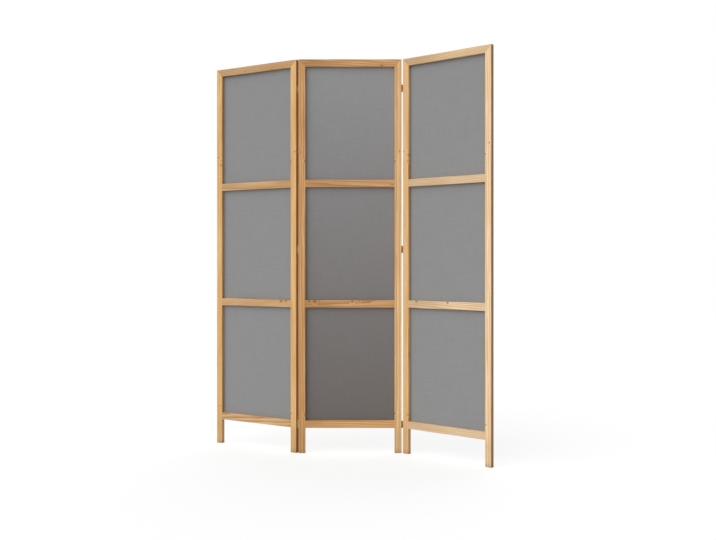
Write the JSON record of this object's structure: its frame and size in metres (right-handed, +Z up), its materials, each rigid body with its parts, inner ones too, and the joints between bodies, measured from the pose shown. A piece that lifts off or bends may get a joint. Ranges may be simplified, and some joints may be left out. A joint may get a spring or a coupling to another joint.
{
  "type": "folding screen",
  "caption": "Folding screen of hinged pine-framed panels with taut grey cloth fields, standing in a zigzag; each wing folds flat against the middle panel.",
  "frame": {"origin": "on the floor, at the centre of the standing screen's plan", "axes": "+Z up; +X along the middle panel to the right as seen from the front; front faces -Y"},
  "size_m": [1.2034, 0.5472, 1.72],
  "materials": {
    "pine": "planed and clear oiled",
    "dowel": "bare beech",
    "cloth": "matt plain weave",
    "hinge": "dull brass plate",
    "pin": "dull brass plate",
    "screw": "dull brass plate"
  },
  "bodies": {
    "middle_panel": {"left_bottom_hinge_inner_leaf": "hinge", "left_bottom_hinge_pin": "pin", "left_middle_hinge_inner_leaf": "hinge", "left_middle_hinge_pin": "pin", "left_top_hinge_inner_leaf": "hinge", "left_top_hinge_pin": "pin", "middle_panel_bottom_cloth": "cloth", "middle_panel_bottom_rail": "pine", "middle_panel_dowels": "dowel", "middle_panel_hinge_screws": "screw", "middle_panel_left_stile": "pine", "middle_panel_lower_rail": "pine", "middle_panel_middle_cloth": "cloth", "middle_panel_right_stile": "pine", "middle_panel_top_cloth": "cloth", "middle_panel_top_rail": "pine", "middle_panel_upper_rail": "pine", "right_bottom_hinge_inner_leaf": "hinge", "right_bottom_hinge_pin": "pin", "right_middle_hinge_inner_leaf": "hinge", "right_middle_hinge_pin": "pin", "right_top_hinge_inner_leaf": "hinge", "right_top_hinge_pin": "pin"},
    "left_panel": {"left_bottom_hinge_outer_leaf": "hinge", "left_middle_hinge_outer_leaf": "hinge", "left_panel_bottom_cloth": "cloth", "left_panel_bottom_rail": "pine", "left_panel_dowels": "dowel", "left_panel_hinge_screws": "screw", "left_panel_left_stile": "pine", "left_panel_lower_rail": "pine", "left_panel_middle_cloth": "cloth", "left_panel_right_stile": "pine", "left_panel_top_cloth": "cloth", "left_panel_top_rail": "pine", "left_panel_upper_rail": "pine", "left_top_hinge_outer_leaf": "hinge"},
    "right_panel": {"right_bottom_hinge_outer_leaf": "hinge", "right_middle_hinge_outer_leaf": "hinge", "right_panel_bottom_cloth": "cloth", "right_panel_bottom_rail": "pine", "right_panel_dowels": "dowel", "right_panel_hinge_screws": "screw", "right_panel_left_stile": "pine", "right_panel_lower_rail": "pine", "right_panel_middle_cloth": "cloth", "right_panel_right_stile": "pine", "right_panel_top_cloth": "cloth", "right_panel_top_rail": "pine", "right_panel_upper_rail": "pine", "right_top_hinge_outer_leaf": "hinge"}
  },
  "joints": [
    {"name": "left_fold", "type": "hinge", "parent": "middle_panel", "child": "left_panel", "pos_m": [-0.21022, 0.03633, 0.86], "axis": [0, 0, -1], "range_deg": [-32, 148]},
    {"name": "right_fold", "type": "hinge", "parent": "middle_panel", "child": "right_panel", "pos_m": [0.24288, 0.01633, 0.86], "axis": [0, 0, -1], "range_deg": [-40, 140]}
  ]
}
